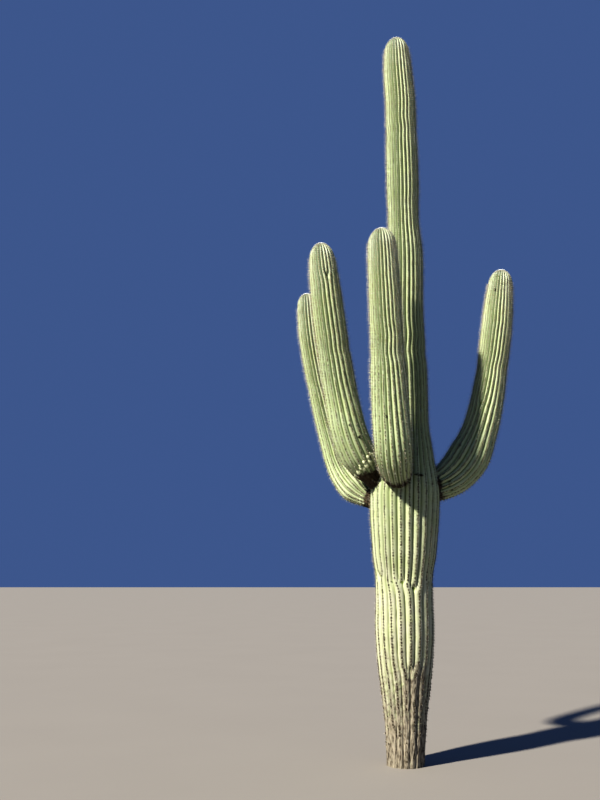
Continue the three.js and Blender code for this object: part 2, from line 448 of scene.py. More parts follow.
class Trunk(Limb):
    """The trunk, which is corky and fissured at its foot."""

    # The old growth under the knee has shallower grooves: their share, and the heights between
    # which they deepen.
    old_depth, old_to, young_from = 0.62, 1.1, 2.4
    # Cork covers the foot up to the first height and has gone at the second, in metres.
    cork_from, cork_to = 0.12, 1.12
    cork_raggedness = 0.15
    # Old wounds under the knee have left a patch of half cork: its turn, width, height and reach.
    patch_turn, patch_width = math.radians(22), 0.4
    patch_height, patch_rise = 0.7, 0.16
    # Height of the cork's plates, and depth of its long fissures and of the cracks across them.
    plate, fissure, crack = 0.0025, 0.005, 0.002

    def depth_share(self, place):
        """Share of its whole depth that a groove has at each place."""
        return self.old_depth + (1 - self.old_depth) * ease(place, self.old_to, self.young_from)

    def cork(self, turn, place):
        """Share of cork in the skin: all at the foot, none above the knee, and a patch in front."""
        foot = 1 - (np.clip(place - self.cork_from, 0, None) / (self.cork_to - self.cork_from))
        aside = turn_from(turn, self.patch_turn)
        patch = 0.5 * np.exp(-(aside / self.patch_width) ** 2
                             - ((place - self.patch_height) / self.patch_rise) ** 2)
        ragged = self.cork_raggedness * mottle(turn, place, 14, 0.16, self.seed + 4)
        return np.clip(foot + patch + ragged, 0, 1)

    def relief(self, turn, place):
        """Small relief of the skin: long fissures and plates in the cork."""
        cork = self.cork(turn, place)
        fissures = np.clip(1 - 4 * np.abs(mottle(turn, place, 72, 0.2, self.seed + 5)), 0, 1)
        cracks = np.clip(1 - 6 * np.abs(mottle(turn, place, 14, 0.06, self.seed + 6)), 0, 1)
        plates = mottle(turn, place, 50, 0.05, self.seed + 7)
        return (cork ** 1.5 * (self.plate * plates - self.fissure * fissures - self.crack * cracks)
                + self.grain * mottle(turn, place, 80, 0.05, self.seed + 2))


def trunk_limb(sizes):
    """The trunk, with level rings up its leaning line."""
    heights = np.linspace(0, TRUNK_HEIGHT, 2 * Limb.line_steps)
    centres = np.stack([value_at(TRUNK, heights, TRUNK_LEAN), 0 * heights, heights], -1)
    right = np.tile((1.0, 0.0, 0.0), (len(heights), 1))
    front = np.tile((0.0, -1.0, 0.0), (len(heights), 1))
    return Trunk("trunk", 11, heights, centres, right, front, TRUNK, TRUNK_GIRTH,
                 sizes.trunk_groove, sizes.crease)


def arm_limb(name, seed, sizes):
    """One arm, with rings square to its line."""
    arm = ARMS[name]
    root, heel, tip = (np.array(arm[key]) for key in ("root", "heel", "tip"))
    azimuth, rise = math.radians(arm["azimuth"]), math.radians(arm["rise"])
    out = np.array((math.cos(azimuth) * math.cos(rise), math.sin(azimuth) * math.cos(rise), math.sin(rise)))
    heel_up = unit(np.array((*arm["heel_lean"], 1)))
    tip_up = unit(np.array((*arm["tip_lean"], 1)))
    bend = bezier(root, root + out * arm["root_reach"], heel - heel_up * arm["heel_reach"], heel,
                  Limb.line_steps)
    shaft = bezier(heel, heel + heel_up * arm["shaft_reach"], tip - tip_up * arm["shaft_reach"], tip,
                   Limb.line_steps)
    centres = np.concatenate([bend, shaft[1:]])
    places = running_total(np.linalg.norm(np.diff(centres, axis=0), axis=1))
    along = unit(np.gradient(centres, places, axis=0))
    side = np.array((-math.sin(azimuth), math.cos(azimuth), 0))
    right = unit(side - along * (along @ side)[:, None])
    return Limb(name, seed, places, centres, right, np.cross(right, along), arm["girth"], ARM_GIRTH,
                sizes.arm_groove, sizes.crease)


def all_limbs(scene):
    """The trunk and the four arms."""
    sizes = scene.saguaro_ribs
    arms = [arm_limb(name, 20 + 10 * rank, sizes) for rank, name in enumerate(ARMS)]
    return [trunk_limb(sizes), *arms]


# Places of the spine cushions

class SurfaceSpots:
    """Spots on a limb's skin: where each lies, and its directions up the rib, out and across."""

    # The skin is felt so far above and below a spot, in metres.
    feel = 0.004

    def __init__(self, limb, turn, place):
        self.point = limb.skin(turn, place)[0]
        above = limb.skin(turn, np.clip(place + self.feel, 0, limb.length))[0]
        below = limb.skin(turn, np.clip(place - self.feel, 0, limb.length))[0]
        self.up = unit(above - below)
        radial = limb.rings(turn, place)[1]
        self.out = unit(radial - self.up * (radial * self.up).sum(-1, keepdims=True))
        self.across = np.cross(self.up, self.out)


class Areoles(SurfaceSpots):
    """The spine cushions of a limb: spots on the crests, and how far each is from the tip."""

    # Neighbouring ribs carry their cushions at steps of a third of the spacing.
    stagger = 3
    crest_samples = 1500
    # Young cushions near a tip stand closer, by this share, within this distance, in metres.
    young_closeness, young_reach = 0.5, 0.12
    # The cushions stop where the dome is as thin as this.
    least_radius = 0.012
    # A cushion stands this far above or below its even place at most, in metres.
    unevenness = 0.002
    # A cushion inside this share of another limb's radius is left out.
    sunk_share = 0.97

    def __init__(self, limb, others, spacing, rng):
        walk = limb.even_walk()
        to_tip = limb.walks[-1] - walk
        step = spacing / self.stagger * (1 - self.young_closeness * np.exp(-to_tip / self.young_reach))
        count = running_total(np.diff(walk) / step[1:])
        walks = np.interp(np.arange(1, int(count[-1])), count, walk)
        places = limb.place_of(walks)
        turns = np.linspace(-math.pi, math.pi, self.crest_samples + 1)
        phase = limb.phase(turns[None, :], places[:, None])
        across, height = np.sin(phase), np.cos(phase)
        on_crest = (across[:, :-1] <= 0) & (across[:, 1:] > 0) & (height[:, :-1] > 0)
        rank = np.cumsum(on_crest, axis=1) + np.arange(len(walks))[:, None]
        row, column = np.nonzero(on_crest & (rank % self.stagger == 0))
        before, after = across[row, column], across[row, column + 1]
        turn = turns[column] - before / (after - before) * (turns[1] - turns[0])
        place = places[row] + rng.uniform(-self.unevenness, self.unevenness, len(row))
        place = np.clip(place, 0, limb.length)
        kept = rng.random(len(row)) > limb.cork(turn, place) ** 2
        kept &= limb.radius(place) > self.least_radius
        turn, place = turn[kept], place[kept]
        points = limb.skin(turn, place)[0]
        outside = np.ones(len(points), bool)
        for other in others:
            outside &= ~other.holds(points, self.sunk_share)
        super().__init__(limb, turn[outside], place[outside])
        self.to_tip = limb.walks[-1] - np.interp(place[outside], limb.walk_places, limb.walks)

    def only(self, chosen):
        """The same cushions, or some of them, as a new set."""
        part = object.__new__(Areoles)
        for key, values in vars(self).items():
            setattr(part, key, values[chosen])
        return part

    def __len__(self):
        return len(self.point)


def limb_areoles(scene):
    """Limbs and their spine cushions."""
    limbs = all_limbs(scene)
    spacing = scene.saguaro_spines.spacing
    rng = np.random.default_rng(5)
    return [(limb, Areoles(limb, [o for o in limbs if o is not limb], spacing, rng)) for limb in limbs]


# Meshes

def add_alone(add, **settings):
    """Add an object by one of Blender's operators, with nothing else selected."""
    bpy.ops.object.select_all(action="DESELECT")
    add(**settings)


def edit_where(kind, test):
    """Open the new primitive for editing, with the vertices or faces that pass a test selected."""
    mesh = bpy.context.object.data
    bpy.ops.object.mode_set(mode="EDIT")
    bpy.ops.mesh.select_mode(type=kind)
    bpy.ops.mesh.select_all(action="DESELECT")
    bpy.ops.object.mode_set(mode="OBJECT")
    for item in mesh.vertices if kind == "VERT" else mesh.polygons:
        item.select = test(item)
    bpy.ops.object.mode_set(mode="EDIT")


def start_piece(name):
    """Name the primitive that was just added, and return it."""
    piece = bpy.context.object
    piece.name = name
    piece.data.name = name
    return piece


def finish_piece(piece, materials, replaced=()):
    """Give a piece its materials and its place in the frame."""
    for material in materials:
        piece.data.materials.append(material)
    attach(piece, "root")
    if replaced:
        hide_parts(*replaced)


def points_of(mesh):
    """Vertices of a mesh as an array."""
    points = np.empty(len(mesh.vertices) * 3, np.float32)
    mesh.vertices.foreach_get("co", points)
    return points.reshape(-1, 3).astype(float)


def set_points(mesh, points):
    """Move the vertices of a mesh."""
    mesh.vertices.foreach_set("co", points.astype(np.float32).ravel())
    mesh.update()


def add_attribute(mesh, name, values):
    """Give each vertex a number that a material can read."""
    attribute = mesh.attributes.new(name, "FLOAT", "POINT")
    attribute.data.foreach_set("value", values.astype(np.float32))


# Vertices this near are one at a skin's seam, in metres. Only sharper edges than this stay sharp.
SEAM_GAP = 0.00002
SMOOTH_ANGLE = math.radians(70)


def skin_piece(limb, columns, rows, close_rows, close_reach):
    """A grid rolled round a limb and shaped into its ribs, closed at the root and at the tip."""
    add_alone(bpy.ops.mesh.primitive_grid_add, x_subdivisions=columns, y_subdivisions=rows, size=1)
    piece = start_piece(limb.name + "_skin")
    flat = points_of(piece.data)
    # Rows stand closer near the root, where the relief is finer.
    walk = limb.even_walk()
    density = 1 + close_rows * np.exp(-walk / close_reach)
    count = running_total(np.diff(walk) * density[1:])
    # The grid's rows are rounded to even shares, so that the last one lies at the very tip.
    share = np.round((flat[:, 1] + 0.5) * rows) / rows
    walks = np.interp(share * count[-1], count, walk)
    turn = flat[:, 0] * TAU
    place = limb.place_of(walks)
    points, groove = limb.skin(turn, place)
    set_points(piece.data, points)
    add_attribute(piece.data, "groove", groove)
    add_attribute(piece.data, "cork", limb.cork(turn, place))
    add_attribute(piece.data, "to_tip", limb.walks[-1] - walks)
    bpy.ops.object.mode_set(mode="EDIT")
    bpy.ops.mesh.select_mode(type="VERT")
    bpy.ops.mesh.select_all(action="SELECT")
    bpy.ops.mesh.remove_doubles(threshold=SEAM_GAP)
    bpy.ops.mesh.select_all(action="DESELECT")
    bpy.ops.mesh.select_non_manifold()
    bpy.ops.mesh.edge_face_add()
    bpy.ops.mesh.poke()
    bpy.ops.mesh.select_all(action="SELECT")
    bpy.ops.mesh.normals_make_consistent(inside=False)
    bpy.ops.object.mode_set(mode="OBJECT")
    bpy.ops.object.shade_smooth_by_angle(angle=SMOOTH_ANGLE)
    return piece


def take_template(name):
    """Triangles of the primitive that was just modelled, as arrays. The primitive is removed."""
    bpy.ops.object.mode_set(mode="EDIT")
    bpy.ops.mesh.select_all(action="SELECT")
    bpy.ops.mesh.quads_convert_to_tris()
    bpy.ops.object.mode_set(mode="OBJECT")
    piece = start_piece(name)
    mesh = piece.data
    points = points_of(mesh)
    faces = np.array([face.vertices for face in mesh.polygons])
    bpy.data.objects.remove(piece)
    bpy.data.meshes.remove(mesh)
    return points, faces


def spike_template():
    """A closed three-sided spine, of length one and radius one at its foot."""
    add_alone(bpy.ops.mesh.primitive_cone_add, vertices=3, radius1=1, radius2=0, depth=1,
              location=(0, 0, 0.5))
    bpy.ops.object.transform_apply(location=True)
    return take_template("spike")


def pad_template(sides):
    """A closed low pad with a point below, of radius one and height one."""
    add_alone(bpy.ops.mesh.primitive_cone_add, vertices=sides, radius1=1, radius2=0, depth=1,
              location=(0, 0, 0.5), end_fill_type="TRIFAN")
    bpy.ops.object.transform_apply(location=True)
    points, faces = take_template("pad")
    middle_below = (np.hypot(points[:, 0], points[:, 1]) < 0.1) & (points[:, 2] < 0.5)
    # The middle lies under the skin, so that no gap shows where a crest falls away.
    points[middle_below, 2] = -0.6
    return points, faces


def knob_template():
    """A closed round knob of radius one, pulled out a little to one side."""
    add_alone(bpy.ops.mesh.primitive_ico_sphere_add, subdivisions=2, radius=1)
    edit_where("VERT", lambda vertex: vertex.co.y > 0.3)
    bpy.ops.transform.translate(value=(0, 0.25, -0.1))
    bpy.ops.transform.resize(value=(0.85, 1, 0.85))
    bpy.ops.object.mode_set(mode="OBJECT")
    return take_template("knob")


def scar_template():
    """A closed round wound of radius one: a raised lip round a sunken middle."""
    add_alone(bpy.ops.mesh.primitive_cylinder_add, vertices=14, radius=1, depth=1)
    edit_where("FACE", lambda face: face.normal.z > 0.5)
    bpy.ops.transform.resize(value=(0.8, 0.8, 1))
    bpy.ops.mesh.inset(thickness=0.22)
    bpy.ops.transform.translate(value=(0, 0, -0.45))
    bpy.ops.mesh.inset(thickness=0.2)
    bpy.ops.transform.translate(value=(0, 0, -0.12))
    bpy.ops.object.mode_set(mode="OBJECT")
    return take_template("scar")


def copies_piece(name, template, origins, axes, materials, tints=None):
    """One piece with a copy of a template at every origin. The three axes of a copy hold its size,
    and its tint says which of the materials it has."""
    points, faces = template
    placed = origins[:, None, :].repeat(len(points), axis=1)
    for axis in range(3):
        placed = placed + points[None, :, axis, None] * axes[axis][:, None, :]
    first = (np.arange(len(origins)) * len(points))[:, None, None]
    corners = (faces[None] + first).reshape(-1, 3)
    mesh = bpy.data.meshes.new(name)
    mesh.vertices.add(placed.shape[0] * placed.shape[1])
    mesh.loops.add(corners.size)
    mesh.polygons.add(len(corners))
    mesh.vertices.foreach_set("co", placed.astype(np.float32).ravel())
    mesh.loops.foreach_set("vertex_index", corners.astype(np.int32).ravel())
    mesh.polygons.foreach_set("loop_start", np.arange(0, corners.size, 3, dtype=np.int32))
    if tints is not None:
        mesh.polygons.foreach_set("material_index", tints.repeat(len(faces)).astype(np.int32))
    mesh.polygons.foreach_set("use_smooth", np.ones(len(corners), bool))
    mesh.update(calc_edges=True)
    piece = bpy.data.objects.new(name, mesh)
    bpy.context.scene.collection.objects.link(piece)
    finish_piece(piece, materials)
    return piece


# Distance of a spine's foot from the middle of its cushion, in metres.
SPINE_FOOT = 0.0025


def spines_piece(name, spike, cushions, angles, tilts, lengths, radii, materials, tints=None):
    """One piece of spines, at given angles round their cushions and tilts away from the middle."""
    up, out, across = (part[:, None, :] for part in (cushions.up, cushions.out, cushions.across))
    aside = up * np.cos(angles)[..., None] + across * np.sin(angles)[..., None]
    direction = (out * np.cos(tilts)[..., None] + aside * np.sin(tilts)[..., None]).reshape(-1, 3)
    origin = (cushions.point[:, None, :] + aside * SPINE_FOOT).reshape(-1, 3)
    helper = np.where(np.abs(direction[:, 2:]) < 0.8, (0.0, 0.0, 1.0), (1.0, 0.0, 0.0))
    first = unit(np.cross(helper, direction))
    second = np.cross(direction, first)
    length, radius = lengths.reshape(-1, 1), radii.reshape(-1, 1)
    axes = (first * radius, second * radius, direction * length)
    copies_piece(name, spike, origin, axes, materials, tints)


# Materials

# Fields that many nodes have, and the sockets of a node that mixes colours.
COLOURS = {"data_type": "RGBA"}
SMOOTH = {"interpolation_type": "SMOOTHSTEP"}
FACTOR, BELOW, ABOVE, RESULT = 0, 6, 7, 2


def linear(hex_colour):
    """Linear colour of an sRGB hex value, with full alpha."""
    channels = [int(hex_colour[i:i + 2], 16) / 255 for i in (1, 3, 5)]
    return (*(c / 12.92 if c <= 0.04045 else ((c + 0.055) / 1.055) ** 2.4 for c in channels), 1.0)


def set_sockets(tree, node, sockets):
    """Give the sockets of a node their values or links."""
    for name, value in sockets.items():
        if isinstance(value, bpy.types.NodeSocket):
            tree.links.new(value, node.inputs[name])
        else:
            node.inputs[name].default_value = value


def add_node(tree, kind, settings, sockets, output=0):
    """Add a node, set its fields and its sockets, and return one of its outputs."""
    node = tree.nodes.new("ShaderNode" + kind)
    for name, value in settings.items():
        setattr(node, name, value)
    set_sockets(tree, node, sockets)
    return node.outputs[output]


def new_material(name, sockets):
    """A material with its tree, its shader and the object's own coordinates."""
    material = bpy.data.materials.new(name)
    material.use_nodes = True
    tree = material.node_tree
    shader = tree.nodes["Principled BSDF"]
    set_sockets(tree, shader, sockets)
    return material, tree, shader, add_node(tree, "TexCoord", {}, {}, "Object")


def layered(tree, colour, layers):
    """A colour with layers over it. A layer is what drives it, whether it fades in smoothly, from
    where to where, how much it covers at most, and its colour."""
    for driver, fade, low, high, most, layer in layers:
        share = add_node(tree, "MapRange", fade,
                         {"Value": driver, "From Min": low, "From Max": high, "To Max": most})
        colour = add_node(tree, "Mix", COLOURS, {FACTOR: share, BELOW: colour, ABOVE: layer}, RESULT)
    return colour


def waxy_skin(name, colours, cork_colours):
    """Living cactus skin, grown under a wax bloom. It gives the eye a chalky yellow-green crest,
    a greener groove, darker partly as painted shade in the crease, and cloudy blotches a hand wide.
    On old growth near the ground it turns creamy, and on the foot and the necks it has died back to
    grey-brown cork, painted darker on the necks as shade under the arms' bends."""
    material, tree, shader, place = new_material(name, {"Roughness": 0.55, "IOR": 1.45})
    groove = add_node(tree, "Attribute", {"attribute_name": "groove"}, {}, "Fac")
    to_tip = add_node(tree, "Attribute", {"attribute_name": "to_tip"}, {}, "Fac")
    height = add_node(tree, "SeparateXYZ", {}, {"Vector": place}, "Z")
    blotches = add_node(tree, "TexNoise", {}, {"Vector": place, "Scale": 1 / 0.11, "Detail": 4})
    freckles = add_node(tree, "TexNoise", {}, {"Vector": place, "Scale": 1 / 0.012, "Detail": 3})
    living = layered(tree, colours.crest, (
        (height, SMOOTH, 2.9, 0.9, 0.75, colours.old_crest),
        (to_tip, SMOOTH, 0.7, 0.0, 0.8, colours.young_crest),
        (blotches, {}, 0.35, 0.7, 0.5, colours.blotch),
        (freckles, {}, 0.56, 0.72, 0.4, colours.scurf),
        # The groove colour is greener, and darker partly as painted shade in the crease.
        (groove, SMOOTH, 0.55, 0.95, 1.0, colours.groove)))
    colour, relief, rough = cork_over(tree, place, groove, cork_colours, living, freckles)
    bump = add_node(tree, "Bump", {}, {"Strength": 0.5, "Distance": 0.003, "Height": relief})
    set_sockets(tree, shader, {"Base Color": colour, "Roughness": rough, "Normal": bump})
    return material


def cork_over(tree, place, groove, cork_colours, living_colour, living_relief):
    """Cork where the cork attribute and a ragged edge say so: its colour, height and roughness.
    It begins as dark scurf along the crests, and is grey-brown with long fissures further down."""
    light, dark, grey_face = cork_colours
    cork = add_node(tree, "Attribute", {"attribute_name": "cork"}, {}, "Fac")
    edge = add_node(tree, "TexNoise", {},
                    {"Vector": place, "Scale": 1 / 0.035, "Detail": 8, "Roughness": 0.7})
    ragged = add_node(tree, "Math", {"operation": "MULTIPLY_ADD"}, {0: edge, 1: 2.2, 2: -1.1})
    level = add_node(tree, "Math", {"operation": "ADD"}, {0: cork, 1: ragged})
    ridge = add_node(tree, "MapRange", SMOOTH,
                     {"Value": groove, "From Min": 0.14, "From Max": 0.02, "To Max": 0.7})
    scurfy = add_node(tree, "MapRange", SMOOTH, {"Value": level, "From Min": -0.1, "From Max": 0.4})
    band = add_node(tree, "Math", {"operation": "MULTIPLY"}, {0: ridge, 1: scurfy})
    banded = add_node(tree, "Mix", COLOURS, {FACTOR: band, BELOW: living_colour, ABOVE: dark}, RESULT)
    # Fissures run up the trunk, so the pattern is drawn out upwards.
    drawn = add_node(tree, "Mapping", {}, {"Vector": place, "Scale": (1, 1, 0.16)})
    strips = add_node(tree, "TexNoise", {}, {"Vector": drawn, "Scale": 1 / 0.011, "Detail": 5})
    grain = add_node(tree, "TexNoise", {}, {"Vector": place, "Scale": 1 / 0.02, "Detail": 6})
    weathered = layered(tree, dark, (
        (strips, {}, 0.38, 0.58, 1.0, light),
        (grain, {}, 0.5, 0.7, 0.7, grey_face)))
    share = add_node(tree, "MapRange", SMOOTH, {"Value": level, "From Min": 0.25, "From Max": 0.85})
    colour = add_node(tree, "Mix", COLOURS, {FACTOR: share, BELOW: banded, ABOVE: weathered}, RESULT)
    rise = add_node(tree, "Math", {"operation": "MULTIPLY"}, {0: strips, 1: 4.0})
    relief = add_node(tree, "Mix", {"data_type": "FLOAT"}, {0: share, 2: living_relief, 3: rise})
    rough = add_node(tree, "MapRange", {}, {"Value": share, "To Min": 0.55, "To Max": 0.92})
    return colour, relief, rough


def young_skin(colours):
    """Skin of a knob, grown late: chalky and softly speckled, and pale partly as painted light where the
    knobs catch the sun.
    """
    material, tree, shader, place = new_material("young_knob_skin", {"Roughness": 0.6, "IOR": 1.45})
    speckle = add_node(tree, "TexNoise", {}, {"Vector": place, "Scale": 1 / 0.008, "Detail": 3})
    shade = add_node(tree, "Mix", COLOURS,
                     {FACTOR: speckle, BELOW: colours.knob_painted_light, ABOVE: colours.crest}, RESULT)
    bump = add_node(tree, "Bump", {}, {"Strength": 0.4, "Distance": 0.002, "Height": speckle})
    set_sockets(tree, shader, {"Base Color": shade, "Normal": bump})
    return material


def felt(colours):
    """Short felt of an areole, grown. It is tan near the tips and weathers to a dark grey-brown that
    marks each crest with dots. It is quite matt. Its fibres are too fine to show, so they are drawn
    4 mm apart."""
    material, tree, shader, place = new_material("areole_felt", {"Roughness": 0.95, "IOR": 1.45})
    fibres = add_node(tree, "TexNoise", {}, {"Vector": place, "Scale": 1 / 0.004, "Detail": 2})
    old = add_node(tree, "Mix", COLOURS,
                   {FACTOR: fibres, BELOW: colours.felt_dark, ABOVE: colours.felt_light}, RESULT)
    age = add_node(tree, "Attribute", {"attribute_name": "age"}, {}, "Fac")
    shade = add_node(tree, "Mix", COLOURS, {FACTOR: age, BELOW: colours.felt_young, ABOVE: old}, RESULT)
    set_sockets(tree, shader, {"Base Color": shade})
    return material


def horn(name, colour):
    """Horn of a spine, grown and dried: hard and a little glossy, with duller weathered stretches."""
    material, tree, shader, place = new_material(name, {"Base Color": colour, "IOR": 1.54})
    weather = add_node(tree, "TexNoise", {}, {"Vector": place, "Scale": 1 / 0.01, "Detail": 2})
    dull = add_node(tree, "MapRange", {},
                    {"Value": weather, "From Min": 0.35, "From Max": 0.65, "To Min": 0.4, "To Max": 0.75})
    set_sockets(tree, shader, {"Roughness": dull})
    return material


def wool(colours):
    """Wool of a growing tip: long white fibres that light up at their edge. They are too fine to
    show, so they are drawn as tufts 12 mm apart."""
    material, tree, shader, place = new_material(
        "crown_wool", {"Roughness": 0.98, "IOR": 1.45, "Sheen Weight": 0.4})
    tufts = add_node(tree, "TexNoise", {}, {"Vector": place, "Scale": 1 / 0.012, "Detail": 4})
    shade = add_node(tree, "Mix", COLOURS,
                     {FACTOR: tufts, BELOW: colours.wool_dark, ABOVE: colours.wool_light}, RESULT)
    set_sockets(tree, shader, {"Base Color": shade})
    return material


def callus(colours):
    """Callus that has grown over a wound and dried: dull, nearly black, with a crumbled face."""
    material, tree, shader, place = new_material("dry_callus", {"Roughness": 0.9, "IOR": 1.5})
    crumbs = add_node(tree, "TexNoise", {}, {"Vector": place, "Scale": 1 / 0.008, "Detail": 5})
    shade = add_node(tree, "Mix", COLOURS,
                     {FACTOR: crumbs, BELOW: colours.callus_dark, ABOVE: colours.callus_light}, RESULT)
    bump = add_node(tree, "Bump", {}, {"Strength": 0.6, "Distance": 0.003, "Height": crumbs})
    set_sockets(tree, shader, {"Base Color": shade, "Normal": bump})
    return material


def plaster(colour):
    """Smooth pale plaster for the floor, trowelled: matt, with hardly any pattern."""
    material, tree, shader, place = new_material("floor_plaster", {"Roughness": 0.9, "IOR": 1.5})
    clouds = add_node(tree, "TexNoise", {}, {"Vector": place, "Scale": 1 / 1.5, "Detail": 3})
    shading = add_node(tree, "MapRange", {}, {"Value": clouds, "To Min": 0.97, "To Max": 1.03})
    shade = add_node(tree, "Mix", {"data_type": "RGBA", "blend_type": "MULTIPLY"},
                     {FACTOR: 1.0, BELOW: colour, ABOVE: shading}, RESULT)
    set_sockets(tree, shader, {"Base Color": shade})
    return material


# Settings

def length_setting(name, description, default):
    """A size in metres."""
    return bpy.props.FloatProperty(name=name, description=description, default=default, unit="LENGTH",
                                   min=0.0, precision=4)


def colour_setting(name, description, default):
    """A colour, whose default is told as an sRGB hex value."""
    return bpy.props.FloatVectorProperty(name=name, description=description, default=linear(default),
                                         subtype="COLOR", size=4, min=0.0, max=1.0)


def angle_setting(name, description, degrees):
    """An angle, whose default is told in degrees."""
    return bpy.props.FloatProperty(name=name, description=description, default=math.radians(degrees),
                                   subtype="ANGLE")


def count_setting(name, description, default, most):
    """How many faces a mesh has one way."""
    return bpy.props.IntProperty(name=name, description=description, default=default, min=50, max=most)


class RibSettings(bpy.types.PropertyGroup):
    """Sizes of the ribs and of the skins' meshes."""

    trunk_groove: length_setting("Trunk groove", "Depth of the grooves between the trunk's ribs", 0.044)
    arm_groove: length_setting("Arm groove", "Depth of the grooves between the arms' ribs", 0.036)
    crease: bpy.props.FloatProperty(
        name="Crease", description="Share of a groove's depth that is a narrow crease between round ribs",
        default=0.5, min=0.0, max=1.0, subtype="FACTOR")
    trunk_columns: count_setting("Trunk columns", "Faces round the trunk", 380, 400)
    trunk_rows: count_setting("Trunk rows", "Faces up the trunk", 260, 500)
    arm_columns: count_setting("Arm columns", "Faces round each arm", 300, 400)
    arm_rows: count_setting("Arm rows", "Faces along each arm", 220, 500)


class SpineSettings(bpy.types.PropertyGroup):
    """Sizes of the cushions and spines."""

    spacing: length_setting("Spacing", "Distance between the spine cushions up a rib", 0.025)
    cushion: length_setting("Cushion", "Length of a spine cushion", 0.0165)
    radial: length_setting("Radial spine", "Length of the spines that lie flat round a cushion", 0.0105)
    central: length_setting("Central spine", "Length of the spines that stand out of a cushion", 0.036)
    thickness: length_setting("Thickness", "Thickness of a spine, a little larger than life", 0.0016)
    wool_reach: length_setting("Wool reach", "How far the wool reaches from a tip", 0.045)
    brush_reach: length_setting("Brush reach", "How far the brush of pale spines reaches from a tip", 0.2)


class FinishSettings(bpy.types.PropertyGroup):
    """Colours of the finishes."""

    crest: colour_setting("Crest", "Skin on the crests", "#9CAA8A")
    old_crest: colour_setting("Old crest", "Skin on the crests near the ground", "#ABA99B")
    young_crest: colour_setting("Young crest", "Bloom on the crests near the tips", "#ADB9AA")
    # The groove colour is greener than the crest, and darker partly as painted shade in the crease.
    groove: colour_setting("Groove", "Skin in the grooves", "#5F7428")
    blotch: colour_setting("Blotch", "Cloudy blotches in the skin", "#96A474")
    # The knobs' colour is pale partly as painted light, standing in for the sun on their tops.
    knob_painted_light: colour_setting("Light knob", "Skin of the neck's knobs", "#E8EBCB")
    scurf: colour_setting("Scurf", "Dry specks on the skin", "#C0BD9E")
    cork_light: colour_setting("Light cork", "Strips of cork at the foot", "#928C7E")
    cork_dark: colour_setting("Dark cork", "Fissures in the cork", "#352D22")
    cork_grey: colour_setting("Grey cork", "Weathered face of the cork", "#8A877C")
    # The necks' cork colours are darker than the foot's partly as painted shade under the arms' bends.
    neck_light_painted_shade: colour_setting("Light neck", "Cork round the arms' necks", "#463A2C")
    neck_dark_painted_shade: colour_setting("Dark neck", "Creases in the necks' cork", "#1B1610")
    neck_grey_painted_shade: colour_setting("Grey neck", "Weathered face of the necks' cork", "#3A332A")
    felt_dark: colour_setting("Dark felt", "Felt of old spine cushions", "#231D14")
    felt_light: colour_setting("Light felt", "Ends of the felt's fibres", "#3C3325")
    felt_young: colour_setting("Young felt", "Felt of cushions near the tips", "#8C8567")
    horn_dark: colour_setting("Dark horn", "Old spines, stained", "#4F483C")
    horn_grey: colour_setting("Grey horn", "Old spines, bleached", "#B5AF9F")
    horn_tan: colour_setting("Tan horn", "Grown spines", "#B5A88A")
    horn_cream: colour_setting("Cream horn", "Young spines", "#E2E2D8")
    horn_young: colour_setting("Young horn", "Spines of the crowns", "#DDE3EA")
    wool_light: colour_setting("Light wool", "Ends of the crown's wool", "#EEF3FA")
    wool_dark: colour_setting("Dark wool", "Depth of the crown's wool", "#CDD5DE")
    callus_dark: colour_setting("Dark callus", "Inside of the scars", "#17120D")
    callus_light: colour_setting("Light callus", "Lips of the scars", "#2C251C")


class StageSettings(bpy.types.PropertyGroup):
    """Camera, light and floor."""

    eye_height: length_setting("Eye height", "Height of the camera over the floor", 1.548)
    distance: length_setting("Distance", "Distance of the camera in front of the foot", 7.786)
    aside: length_setting("Aside", "How far the camera stands to the left of the foot", 0.905)
    pitch: angle_setting("Pitch", "How far the camera looks up", 12)
    lens: bpy.props.FloatProperty(
        name="Lens", description="Focal length on a 36 mm sensor, in millimetres", default=38.25)
    sun_side: angle_setting("Sun side", "Turn of the sun to the left of the camera", 50)
    sun_height: angle_setting("Sun height", "Height of the sun over the floor", 37)
    sun_softness: angle_setting("Sun softness", "Width of the sun, which softens its shadows", 2.5)
    sun_strength: bpy.props.FloatProperty(
        name="Sun strength", description="Strength of the sun, in watts a square metre", default=7.2)
    sun_colour: colour_setting("Sun colour", "Colour of the sun", "#FFF6E6")
    backdrop: colour_setting("Backdrop", "Plain backdrop, which is also the fill light", "#485D86")
    floor: colour_setting("Floor", "Colour of the floor", "#86837E")
    floor_size: length_setting("Floor size", "Length of the floor's sides", 400.0)


# Operators

HORN_TINTS = ("dark", "grey", "tan", "cream")
# Shares of these tints among old spines and among young ones.
OLD_HORNS = (0.3, 0.34, 0.2, 0.16)
YOUNG_HORNS = (0.05, 0.17, 0.26, 0.52)
# Distance from the tip over which spines age.
HORN_AGE = 4.5
# Between these heights, downwards, cushions have grown larger and spines have broken shorter, up to
# these factors.
OLD_GROWTH, OLDEST_GROWTH = 3.2, 0.4
OLD_CUSHION, OLD_SPINE = 1.3, 0.55


def worn(areoles, factor):
    """A factor for the size of what grows on each cushion: 1 above the old growth."""
    return factor + (1 - factor) * ease(areoles.point[:, 2], OLDEST_GROWTH, OLD_GROWTH)


def horn_tints(areoles, count, rng):
    """Which horn each of the cushions' spines is of. Young growth is paler."""
    age = np.clip(areoles.to_tip / HORN_AGE, 0, 1)[:, None, None]
    edges = np.cumsum(np.array(YOUNG_HORNS) * (1 - age) + np.array(OLD_HORNS) * age, axis=-1)
    return (rng.random((len(areoles), count, 1)) > edges[..., :-1]).sum(axis=-1).ravel()


